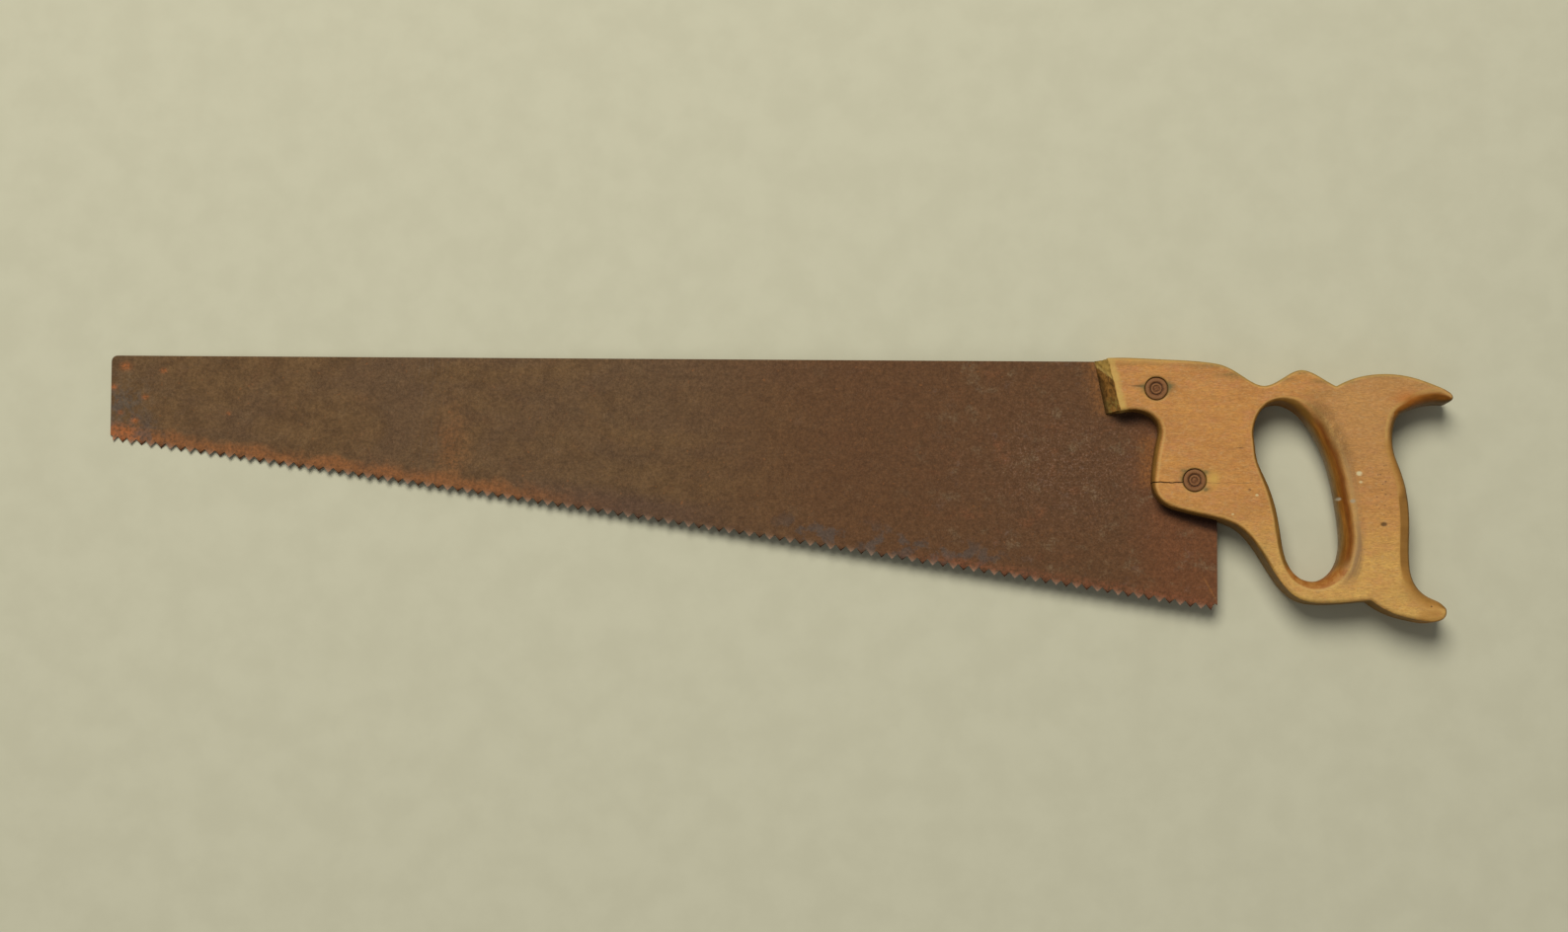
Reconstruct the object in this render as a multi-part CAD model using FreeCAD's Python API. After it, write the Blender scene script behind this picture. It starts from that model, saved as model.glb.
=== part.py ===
import FreeCAD, Part
import math
import os

# Hand saw: a tapered steel blade let into a kerf in a wooden handle and
# held by two steel rivets, each clinched over a washer.
# All lengths are millimetres.  While drawing, x runs along the straight back
# of the blade from toe to handle, y is up from that back (teeth point to -y)
# and z is the thickness.  The whole saw is moved to its box centre at the end.

V = FreeCAD.Vector

# ---------------------------------------------------------------- dimensions
HANDLE_T = 22.0          # thickness of the wooden handle
MID_Z = HANDLE_T / 2.0   # the blade lies in the middle of the handle

BLADE_T = 0.9            # steel plate
TOE_X = -3.0             # top corner of the toe
TOE_FOOT_X = -2.0        # bottom corner of the toe
TOE_Y = -43.0            # tooth line at the toe
TOE_R = 3.0              # rounded top corner of the toe
HEEL_X = 551.5           # straight heel edge
HEEL_Y = -120.5          # lowest corner of the heel
HIDDEN_R = 46.0          # round corner of the plate inside the handle

TEETH = 110              # teeth along the cutting edge, about 5 to the inch
TOOTH_DEPTH = 2.8
TOOTH_HOLLOW = 1.4       # the cutting edge is worn slightly hollow
FIRST_TOOTH_X = -1.5
LAST_TOOTH_X = 548.5
TOOTH_LINE_TOE_Y = -43.5   # height of the tooth tips at the toe
TOOTH_LINE_HEEL_Y = -122.5   # height of the tooth tips at the heel

KERF_T = 1.0             # slot for the blade in the handle
KERF_CLEAR = 0.3         # room around the hidden edge of the plate
KERF_OPEN_X = 508.0      # the slot breaks out of the top edge up to here
CLEAR_FRONT_X = 470.0    # cutting tools start well in front of the handle
CLEAR_BELOW_Y = -140.0   # and end well below it

RIVETS = {"upper": (521.0, -14.5), "lower": (539.5, -59.5)}
SHANK_R = 2.4
RIVET_HOLE_R = 2.5
HEAD_R = 5.5
COUNTERBORE_R = 5.65
COUNTERBORE_DEPTH = 1.9
SUNK = 0.3               # rivet and washer stay this far below the wood

# front nose of the handle, worn to a rough bevel on both cheeks
NOSE_TOP = (491.3, 0.3)
NOSE_FOOT = (497.0, -26.5)
BEVEL_TOP = (497.0, 0.3)
BEVEL_FOOT = (503.5, -26.5)
BEVEL_Z = 2.0            # bevel starts this far from the blade plane
BEVEL_PAST = 8.0         # the bevel is cut this far past the nose's ends

# ------------------------------------------------- handle outline (x, y, r)
# Smooth runs between the sharp corners.  r is the rounding of both edges.
TOP_RUN = [
    (491.3, 0.3, 1.2), (505.0, 0.8, 1.2), (525.0, 0.1, 1.2),
    (547.0, -1.3, 1.2), (553.0, -2.5, 1.2), (562.0, -7.2, 1.2),
    (573.5, -12.6, 1.2), (586.0, -6.6, 1.2), (591.0, -4.7, 1.2),
    (597.0, -6.1, 1.2), (608.5, -12.6, 1.2),
]
BACK_RUN = [
    (608.5, -12.6, 1.2), (618.0, -8.4, 1.2), (631.0, -6.4, 1.2),
    (645.0, -7.9, 1.2), (658.0, -12.5, 1.0), (663.0, -15.0, 0.9),
    (664.9, -17.3, 0.9), (664.4, -19.3, 0.9), (662.0, -20.1, 1.0),
    (655.0, -20.4, 4.0), (646.0, -22.8, 5.5), (639.0, -27.0, 5.5),
    (636.2, -34.5, 5.0), (636.2, -43.0, 4.5), (640.0, -54.5, 5.0),
    (643.3, -69.0, 5.5), (643.7, -84.0, 5.8), (643.5, -97.0, 5.8),
    (645.5, -107.5, 6.0), (652.0, -114.5, 5.0), (658.5, -118.2, 2.5),
    (660.5, -121.0, 1.8), (659.8, -125.0, 1.6), (655.0, -127.2, 1.6),
    (647.0, -126.6, 2.0), (636.0, -123.9, 2.0), (624.3, -117.3, 2.0),
]
CHEEK_RUN = [
    (624.3, -117.3, 2.0), (614.0, -118.3, 2.0), (602.0, -119.0, 2.0),
    (590.0, -117.0, 2.0), (579.5, -106.8, 2.0), (569.5, -91.2, 2.0),
    (560.5, -82.0, 2.0), (548.0, -77.6, 2.0), (533.0, -74.2, 2.0),
    (523.5, -70.0, 2.0), (519.5, -64.0, 2.6), (519.0, -58.0, 3.3),
    (519.7, -50.0, 3.6), (521.5, -40.0, 3.6), (522.3, -34.5, 3.2),
    (519.5, -28.7, 2.4), (511.5, -25.2, 1.5), (503.0, -25.9, 1.5),
    (497.0, -26.5, 1.5),
]
HOLE_RUN = [
    (568.5, -39.0, 1.5), (569.5, -29.5, 1.5), (574.5, -22.5, 1.8),
    (581.5, -20.3, 2.5), (588.0, -22.8, 5.0), (593.5, -28.5, 8.0),
    (599.0, -37.5, 9.0), (604.3, -50.0, 9.3), (608.0, -66.0, 9.5),
    (610.2, -82.0, 9.5), (609.8, -95.0, 9.0), (605.5, -104.0, 7.0),
    (597.0, -108.0, 5.5), (589.0, -105.5, 4.0), (584.5, -99.5, 3.6),
    (581.5, -87.0, 3.6), (578.8, -72.0, 3.4), (574.0, -58.5, 2.6),
    (569.8, -48.5, 1.8),
]


def flat(points):
    return [V(p[0], p[1], 0.0) for p in points]


def run_edges(stations, closed=False):
    """One smooth curve through the stations, cut into an edge per station."""
    curve = Part.BSplineCurve()
    if closed:
        curve.interpolate(Points=flat(stations), PeriodicFlag=True)
    else:
        curve.interpolate(Points=flat(stations))
    cuts = [curve.parameter(p) for p in flat(stations)]
    if closed:
        cuts = [curve.FirstParameter] + cuts[1:] + [curve.LastParameter]
    return [curve.toShape(a, b) for a, b in zip(cuts[:-1], cuts[1:])]


def prism(edges, bottom, top):
    face = Part.Face(Part.Wire(edges))
    face.translate(V(0, 0, bottom))
    return face.extrude(V(0, 0, top - bottom))


def polygon_prism(points, bottom, top):
    corners = [V(p[0], p[1], bottom) for p in points]
    face = Part.Face(Part.makePolygon(corners + [corners[0]]))
    return face.extrude(V(0, 0, top - bottom))


def cylinder(xy, radius, bottom, top):
    return Part.makeCylinder(radius, top - bottom, V(xy[0], xy[1], bottom))


def radius_list(solid, runs):
    """Match the flat edges of a prism to the stations and give them radii."""
    wanted = []
    for stations, closed in runs:
        pairs = list(zip(stations[:-1], stations[1:]))
        if closed:
            pairs.append((stations[-1], stations[0]))
        wanted += pairs
    result = []
    for number, edge in enumerate(solid.Edges, 1):
        ends = [v.Point for v in edge.Vertexes]
        if len(ends) != 2 or abs(ends[0].z - ends[1].z) > 1e-6:
            continue
        for a, b in wanted:
            for p, q in ((a, b), (b, a)):
                near = math.hypot(ends[0].x - p[0], ends[0].y - p[1])
                far = math.hypot(ends[1].x - q[0], ends[1].y - q[1])
                if near < 1e-3 and far < 1e-3:
                    result.append((number, p[2], q[2]))
    return result


def round_edges(solid, radii):
    doc = FreeCAD.newDocument("rounding")
    base = doc.addObject("Part::Feature", "base")
    base.Shape = solid
    rounded = doc.addObject("Part::Fillet", "rounded")
    rounded.Base = base
    rounded.Edges = radii
    doc.recompute()
    shape = rounded.Shape.copy()
    FreeCAD.closeDocument(doc.Name)
    return shape


def nose_cutter():
    """Wedge that bevels the front of one cheek, widest at the hook."""
    low = MID_Z + BEVEL_Z
    high = HANDLE_T + 1.0
    grow = (high - low) / (HANDLE_T - low)
    rings = []
    for z, scale in ((low, 0.0), (high, grow)):
        top_x = NOSE_TOP[0] + scale * (BEVEL_TOP[0] - NOSE_TOP[0])
        foot_x = NOSE_FOOT[0] + scale * (BEVEL_FOOT[0] - NOSE_FOOT[0])
        slope = (foot_x - top_x) / (NOSE_FOOT[1] - NOSE_TOP[1])
        past_top = top_x + slope * BEVEL_PAST
        past_foot = foot_x - slope * BEVEL_PAST
        corners = [
            V(past_top, NOSE_TOP[1] + BEVEL_PAST, z),
            V(past_foot, NOSE_FOOT[1] - BEVEL_PAST, z),
            V(CLEAR_FRONT_X, NOSE_FOOT[1] - BEVEL_PAST, z),
            V(CLEAR_FRONT_X, NOSE_TOP[1] + BEVEL_PAST, z),
        ]
        rings.append(Part.makePolygon(corners + [corners[0]]))
    return Part.makeLoft(rings, True, True)


def make_kerf():
    """Slot that takes the plate: open at the front, below and in front of
    the top edge, round behind the hidden corner of the plate."""
    r = HIDDEN_R + KERF_CLEAR
    back_x = HEEL_X + KERF_CLEAR
    top_y = KERF_CLEAR
    centre = V(HEEL_X - HIDDEN_R, -HIDDEN_R, 0)
    start = math.acos((KERF_OPEN_X - centre.x) / r)
    join = centre + V(r * math.cos(start), r * math.sin(start), 0)
    half = centre + V(r * math.cos(start / 2), r * math.sin(start / 2), 0)
    end = V(back_x, -HIDDEN_R, 0)
    above = 5.0
    corners = [end, V(back_x, CLEAR_BELOW_Y, 0), V(CLEAR_FRONT_X, CLEAR_BELOW_Y, 0),
               V(CLEAR_FRONT_X, above, 0), V(KERF_OPEN_X, above, 0), join]
    edges = [Part.Arc(join, half, end).toShape()]
    for a, b in zip(corners[:-1], corners[1:]):
        edges.append(Part.LineSegment(a, b).toShape())
    return prism(Part.__sortEdges__(edges), MID_Z - KERF_T / 2, MID_Z + KERF_T / 2)


def make_handle():
    nose = Part.LineSegment(V(*NOSE_FOOT, 0), V(*NOSE_TOP, 0)).toShape()
    outline = run_edges(TOP_RUN) + run_edges(BACK_RUN) + run_edges(CHEEK_RUN)
    board = prism(outline + [nose], 0.0, HANDLE_T)
    wood = board.cut(prism(run_edges(HOLE_RUN, True), -1.0, HANDLE_T + 1.0)).Solids[0]
    wood = round_edges(wood, radius_list(wood, [(HOLE_RUN, True)]))
    runs = [(TOP_RUN, False), (BACK_RUN, False), (CHEEK_RUN, False)]
    wood = round_edges(wood, radius_list(wood, runs))

    near_bevel = nose_cutter()
    far_bevel = near_bevel.mirror(V(0, 0, MID_Z), V(0, 0, 1))
    wood = wood.cut(near_bevel).cut(far_bevel).cut(make_kerf())
    for xy in RIVETS.values():
        wood = wood.cut(cylinder(xy, RIVET_HOLE_R, -1.0, HANDLE_T + 1.0))
        wood = wood.cut(cylinder(xy, COUNTERBORE_R, -1.0, COUNTERBORE_DEPTH))
        floor = HANDLE_T - COUNTERBORE_DEPTH
        wood = wood.cut(cylinder(xy, COUNTERBORE_R, floor, HANDLE_T + 1.0))
    return wood.Solids[0]


def make_blade():
    pitch = (LAST_TOOTH_X - FIRST_TOOTH_X) / (TEETH - 1)
    points = []
    for k in range(TEETH):
        share = k / (TEETH - 1)
        x = FIRST_TOOTH_X + k * pitch
        y = TOOTH_LINE_TOE_Y + share * (TOOTH_LINE_HEEL_Y - TOOTH_LINE_TOE_Y)
        y += TOOTH_HOLLOW * 4 * share * (1 - share)
        points.append(V(x, y, 0))
        if k < TEETH - 1:
            points.append(V(x + pitch / 2, y + TOOTH_DEPTH - 0.3, 0))
    points.append(V(HEEL_X - 1.2, HEEL_Y + 1.2, 0))
    points.append(V(HEEL_X, HEEL_Y, 0))

    arc_start = V(HEEL_X, -HIDDEN_R, 0)
    arc_end = V(HEEL_X - HIDDEN_R, 0, 0)
    c = HIDDEN_R * (1 - math.sqrt(0.5))
    arc_mid = V(HEEL_X - c, -c, 0)
    toe_start = V(TOE_X + TOE_R, 0, 0)
    toe_end = V(TOE_X, -TOE_R, 0)
    t = TOE_R * (1 - math.sqrt(0.5))
    toe_mid = V(TOE_X + t, -t, 0)

    edges = [Part.LineSegment(points[-1], arc_start).toShape(),
             Part.Arc(arc_start, arc_mid, arc_end).toShape(),
             Part.LineSegment(arc_end, toe_start).toShape(),
             Part.Arc(toe_start, toe_mid, toe_end).toShape(),
             Part.LineSegment(toe_end, V(TOE_FOOT_X, TOE_Y, 0)).toShape(),
             Part.LineSegment(V(TOE_FOOT_X, TOE_Y, 0), points[0]).toShape()]
    for a, b in zip(points[:-1], points[1:]):
        edges.append(Part.LineSegment(a, b).toShape())
    plate = prism(Part.__sortEdges__(edges), MID_Z - BLADE_T / 2, MID_Z + BLADE_T / 2)
    for xy in RIVETS.values():
        plate = plate.cut(cylinder(xy, RIVET_HOLE_R, 0.0, HANDLE_T))
    return plate.Solids[0]


def turned(profile, xy):
    """Turn a closed (radius, z) profile about the rivet's axis.  A point
    with a third item is the middle of an arc between its neighbours."""
    edges = []
    points = profile + [profile[0]]
    i = 0
    while i < len(points) - 1:
        a = V(points[i][0], 0, points[i][1])
        if len(points[i + 1]) == 3:
            m = V(points[i + 1][0], 0, points[i + 1][1])
            b = V(points[i + 2][0], 0, points[i + 2][1])
            edges.append(Part.Arc(a, m, b).toShape())
            i += 2
        else:
            b = V(points[i + 1][0], 0, points[i + 1][1])
            edges.append(Part.LineSegment(a, b).toShape())
            i += 1
    face = Part.Face(Part.Wire(edges))
    solid = face.revolve(V(0, 0, 0), V(0, 0, 1), 360)
    if not solid.isValid() or solid.Volume < 0:
        solid.reverse()
    solid.translate(V(xy[0], xy[1], 0))
    return solid.Solids[0]


def make_rivet(xy):
    """Domed head on the far cheek, dimpled end peened over on the near one."""
    seat = COUNTERBORE_DEPTH
    top = HANDLE_T - SUNK
    return turned([
        (0.0, SUNK), (3.2, SUNK + 0.25, "arc"), (HEAD_R, SUNK + 0.9),
        (HEAD_R, seat), (SHANK_R, seat), (SHANK_R, top - 0.75),
        (2.8, top - 0.6), (2.5, top - 0.1, "arc"), (1.8, top - 0.15),
        (1.4, top - 0.4), (0.0, top - 0.4),
    ], xy)


def make_washer(xy):
    """Dished washer: raised round rim, hollow in the middle."""
    seat = HANDLE_T - COUNTERBORE_DEPTH
    top = HANDLE_T - SUNK
    return turned([
        (RIVET_HOLE_R, seat), (HEAD_R, seat), (HEAD_R, top - 0.7),
        (4.4, top, "arc"), (3.2, top - 0.65), (RIVET_HOLE_R, top - 0.8),
    ], xy)


def main():
    nodes = {"handle": make_handle(), "blade": make_blade()}
    for name, xy in RIVETS.items():
        nodes[name + "_rivet"] = make_rivet(xy)
        nodes[name + "_rivet_washer"] = make_washer(xy)

    whole = FreeCAD.BoundBox()
    for shape in nodes.values():
        whole.add(shape.optimalBoundingBox(False))
    shift = V(-whole.Center.x, -whole.Center.y, -whole.ZMin)

    os.makedirs("parts", exist_ok=True)
    for name, shape in nodes.items():
        shape.translate(shift)
        shape.exportStep("parts/" + name + ".step")
        print(name, shape.isValid(), len(shape.Solids), round(shape.Volume, 1))
    print("moved by", round(shift.x, 3), round(shift.y, 3), round(shift.z, 3))
    print("box", round(whole.XLength, 2), round(whole.YLength, 2), round(whole.ZLength, 2))


main()
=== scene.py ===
import math

import bmesh
import bpy
import numpy as np
from mathutils import Matrix, Vector
from mathutils.kdtree import KDTree


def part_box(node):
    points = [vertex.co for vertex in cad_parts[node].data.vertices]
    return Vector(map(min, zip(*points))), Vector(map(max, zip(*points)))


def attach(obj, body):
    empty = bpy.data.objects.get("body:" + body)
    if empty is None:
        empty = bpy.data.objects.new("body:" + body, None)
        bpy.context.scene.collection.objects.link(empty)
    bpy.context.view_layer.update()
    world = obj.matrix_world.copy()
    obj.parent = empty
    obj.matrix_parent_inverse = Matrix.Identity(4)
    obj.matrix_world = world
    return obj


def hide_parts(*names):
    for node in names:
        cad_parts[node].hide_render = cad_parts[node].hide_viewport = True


# Old hand saw lying on its side: a rusty toothed plate in a worn wooden
# handle, held by two rivets clinched over washers.
# Lengths below are millimetres in the saw's own drawing frame: x along the
# back of the blade from the toe, y up from the back, z through the thickness.

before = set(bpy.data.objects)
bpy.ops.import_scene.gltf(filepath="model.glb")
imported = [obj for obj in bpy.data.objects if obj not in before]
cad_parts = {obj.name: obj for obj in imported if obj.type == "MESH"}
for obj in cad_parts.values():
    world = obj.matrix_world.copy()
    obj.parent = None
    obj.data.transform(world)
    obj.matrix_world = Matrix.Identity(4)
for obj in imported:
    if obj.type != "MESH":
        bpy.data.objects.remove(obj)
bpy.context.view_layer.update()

# ------------------------------------------------------------- driving sizes
TOE_X = -3.0
TOE_FOOT_X = -2.0
TOE_R = 3.0
HEEL_X = 551.5
HIDDEN_R = 46.0
BLADE_T = 0.9
TEETH = 110
FIRST_TOOTH_X = -1.5
LAST_TOOTH_X = 548.5
TIP_TOE_Y = -43.5
TIP_HEEL_Y = -122.5
TOOTH_HOLLOW = 1.4
TOOTH_DEPTH = 2.8
TOOTH_SET = 0.28
CRACK_X, CRACK_Y = 519.0, -60.7
NOSE_X = 491.3           # where the nose's slanting front meets the back
BEVEL_X = 497.0          # where its worn bevel does
NOSE_TOP_Y = 0.3
NOSE_FOOT_Y = -26.5
GRAIN = 0.00045          # metres between the points of the worn handle
REACH = 20.0             # edge distances are painted on the handle up to this
HANDLE_T = 22.0
RIVETS = {"upper": (521.0, -14.5), "lower": (539.5, -59.5)}

# the hand hole leans: its middle line runs between these two points
HOLE_TOP = np.array((580.0, -32.0))
HOLE_FOOT = np.array((598.0, -96.0))

blade_low, blade_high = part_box("blade")
handle_low, handle_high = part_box("handle")
ORIGIN = Vector((blade_low.x * 1000 - TOE_X, blade_high.y * 1000, handle_low.z * 1000))


def to_row(points):
    """Drawing frame in mm to the model's frame in metres."""
    return (np.asarray(points, float) + np.array(ORIGIN)) / 1000


def to_mm(points):
    return np.asarray(points, float) * 1000 - np.array(ORIGIN)


# ------------------------------------------------------------- small helpers
def smooth(low, high, x):
    t = np.clip((x - low) / (high - low), 0, 1)
    return t * t * (3 - 2 * t)


def hash3(i, j, k, seed):
    h = (i * 374761393 + j * 668265263 + k * 2147483647 + seed * 974711) & 0xFFFFFFFF
    h = ((h ^ (h >> 13)) * 1274126177) & 0xFFFFFFFF
    h = h ^ (h >> 16)
    return (h & 0xFFFFFF) / 0xFFFFFF


def noise(p, size, seed=0):
    """Smooth value noise from 0 to 1 with features about size mm across."""
    q = p / np.asarray(size, float)
    base = np.floor(q).astype(np.int64)
    f = q - base
    f = f * f * (3 - 2 * f)
    total = np.zeros(len(p))
    for dx in (0, 1):
        for dy in (0, 1):
            for dz in (0, 1):
                w = (f[:, 0] if dx else 1 - f[:, 0])
                w = w * (f[:, 1] if dy else 1 - f[:, 1])
                w = w * (f[:, 2] if dz else 1 - f[:, 2])
                h = hash3(base[:, 0] + dx, base[:, 1] + dy, base[:, 2] + dz, seed)
                total += w * h
    return total


def vertex_array(mesh):
    co = np.empty(len(mesh.vertices) * 3, np.float32)
    mesh.vertices.foreach_get("co", co)
    return co.reshape(-1, 3).astype(float)


def vertex_normals(mesh):
    no = np.empty(len(mesh.vertices) * 3, np.float32)
    mesh.vertex_normals.foreach_get("vector", no)
    return no.reshape(-1, 3).astype(float)


def set_vertices(mesh, co):
    mesh.vertices.foreach_set("co", co.astype(np.float32).ravel())
    mesh.update()


def paint(mesh, name, values):
    layer = mesh.attributes.new(name, "FLOAT", "POINT")
    layer.data.foreach_set("value", np.clip(values, 0, 1).astype(np.float32))


def mend(mesh, weld=None, face_out=True):
    """Welds points closer than weld metres and turns the faces outwards."""
    bm = bmesh.new()
    bm.from_mesh(mesh)
    if weld:
        bmesh.ops.remove_doubles(bm, verts=bm.verts, dist=weld)
    if face_out:
        bmesh.ops.recalc_face_normals(bm, faces=bm.faces)
    bm.to_mesh(mesh)
    bm.free()


def mesh_from(name, points, faces, weld=None):
    """Mesh of points in mm."""
    mesh = bpy.data.meshes.new(name)
    mesh.from_pydata([tuple(p) for p in to_row(points)], [], faces)
    mend(mesh, weld)
    return mesh


def new_piece(name, mesh, material):
    piece = bpy.data.objects.new(name, mesh)
    bpy.context.scene.collection.objects.link(piece)
    mesh.materials.clear()
    mesh.materials.append(material)
    return piece


def shade_smooth(mesh, angle=None):
    mesh.polygons.foreach_set("use_smooth", [True] * len(mesh.polygons))
    if angle is not None:
        mesh.set_sharp_from_angle(angle=math.radians(angle))
    mesh.update()


def applied(piece):
    """The piece's mesh with its modifiers applied."""
    depsgraph = bpy.context.evaluated_depsgraph_get()
    mesh = bpy.data.meshes.new_from_object(piece.evaluated_get(depsgraph))
    piece.modifiers.clear()
    old = piece.data
    piece.data = mesh
    bpy.data.meshes.remove(old)
    return mesh


# ------------------------------------------------------------ node shorthand
class Nodes:
    """Builds a material's node tree from nested calls."""

    def __init__(self, name):
        self.material = bpy.data.materials.new(name)
        self.material.use_nodes = True
        self.tree = self.material.node_tree
        self.shader = self.tree.nodes["Principled BSDF"]
        place = self.add("ShaderNodeTexCoord")
        scale = self.add("ShaderNodeVectorMath", operation="MULTIPLY_ADD")
        self.join(place.outputs["Object"], scale.inputs[0])
        scale.inputs[1].default_value = (1000, 1000, 1000)
        scale.inputs[2].default_value = tuple(-v for v in ORIGIN)
        self.mm = scale.outputs[0]
        split = self.add("ShaderNodeSeparateXYZ")
        self.join(self.mm, split.inputs[0])
        self.x, self.y, self.z = split.outputs

    def add(self, kind, **settings):
        node = self.tree.nodes.new(kind)
        for key, value in settings.items():
            setattr(node, key, value)
        return node

    def join(self, value, socket):
        if isinstance(value, bpy.types.NodeSocket):
            self.tree.links.new(value, socket)
        elif value is not None:
            socket.default_value = value

    def math(self, operation, a, b=None):
        node = self.add("ShaderNodeMath", operation=operation)
        for value, socket in zip((a, b), node.inputs):
            self.join(value, socket)
        return node.outputs[0]

    def plus(self, a, b):
        return self.math("ADD", a, b)

    def minus(self, a, b):
        return self.math("SUBTRACT", a, b)

    def times(self, a, b, *more):
        result = self.math("MULTIPLY", a, b)
        for value in more:
            result = self.math("MULTIPLY", result, value)
        return result

    def step(self, value, low, high, out_low=0.0, out_high=1.0):
        """Smooth step: out_low below low, out_high above high."""
        node = self.add("ShaderNodeMapRange", interpolation_type="SMOOTHSTEP")
        if low > high:
            low, high, out_low, out_high = high, low, out_high, out_low
        for value, socket in zip((value, low, high, out_low, out_high), node.inputs):
            self.join(value, socket)
        return node.outputs[0]

    def hump(self, value, centre, width):
        """Bell curve round centre."""
        t = self.math("DIVIDE", self.minus(value, centre), width)
        return self.math("EXPONENT", self.times(self.times(t, t), -1.0))

    def spot(self, x, y, rx, ry):
        """Soft oval spot round x, y."""
        return self.times(self.hump(self.x, x, rx), self.hump(self.y, y, ry))

    def stretched(self, sx, sy, sz, shift=(0, 0, 0)):
        node = self.add("ShaderNodeVectorMath", operation="MULTIPLY_ADD")
        self.join(self.mm, node.inputs[0])
        node.inputs[1].default_value = (sx, sy, sz)
        node.inputs[2].default_value = shift
        return node.outputs[0]

    def point(self, x, y, z=0.0):
        """A vector put together from numbers or sockets."""
        node = self.add("ShaderNodeCombineXYZ")
        for value, socket in zip((x, y, z), node.inputs):
            self.join(value, socket)
        return node.outputs[0]

    def noise(self, scale, detail=3.0, rough=0.55, warp=0.0, shift=(0, 0, 0), at=None):
        """Noise with scale features per mm; scale may be one number or three."""
        if isinstance(scale, (int, float)):
            scale = (scale, scale, scale)
        node = self.add("ShaderNodeTexNoise")
        place = at if at is not None else self.stretched(*scale, shift=shift)
        self.join(place, node.inputs["Vector"])
        node.inputs["Scale"].default_value = 1.0
        node.inputs["Detail"].default_value = detail
        node.inputs["Roughness"].default_value = rough
        node.inputs["Distortion"].default_value = warp
        return node.outputs[0]

    def cells(self, scale, shift):
        """Distance to the nearest of scattered points."""
        node = self.add("ShaderNodeTexVoronoi")
        self.join(self.stretched(*scale, shift=shift), node.inputs["Vector"])
        node.inputs["Scale"].default_value = 1.0
        return node.outputs["Distance"]

    def mask(self, name):
        return self.add("ShaderNodeAttribute", attribute_name=name).outputs["Fac"]

    def mix(self, share, a, b):
        """Colour a where share is 0, b where it is 1."""
        node = self.add("ShaderNodeMix", data_type="RGBA")
        sockets = [s for s in node.inputs if s.enabled]
        for value, socket in zip((share, a, b), sockets):
            if isinstance(value, tuple) and len(value) == 3:
                value = value + (1.0,)
            self.join(value, socket)
        return [s for s in node.outputs if s.enabled][0]

    def brighten(self, colour, factor):
        """Multiplies a colour by a grey factor."""
        node = self.add("ShaderNodeVectorMath", operation="SCALE")
        self.join(colour, node.inputs[0])
        self.join(factor, node.inputs["Scale"])
        return node.outputs[0]

    def finish(self, colour, rough, height, depth_mm, specular=0.5):
        self.join(colour, self.shader.inputs["Base Color"])
        self.join(rough, self.shader.inputs["Roughness"])
        self.shader.inputs["Specular IOR Level"].default_value = specular
        bump = self.add("ShaderNodeBump")
        bump.inputs["Strength"].default_value = 1.0
        bump.inputs["Distance"].default_value = depth_mm / 1000
        self.join(height, bump.inputs["Height"])
        self.join(bump.outputs[0], self.shader.inputs["Normal"])
        return self.material


def crack_line(x):
    """Height of the crack in the cheek at x, for arrays."""
    along = x - CRACK_X
    return CRACK_Y + 0.16 * np.sin(0.55 * along) + 0.07 * np.sin(1.7 * along + 1)


def tip_line(x):
    """Height of the tooth tips at x, for arrays."""
    share = (x - FIRST_TOOTH_X) / (LAST_TOOTH_X - FIRST_TOOTH_X)
    fall = TIP_TOE_Y + share * (TIP_HEEL_Y - TIP_TOE_Y)
    return fall + TOOTH_HOLLOW * 4 * share * (1 - share)


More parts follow.
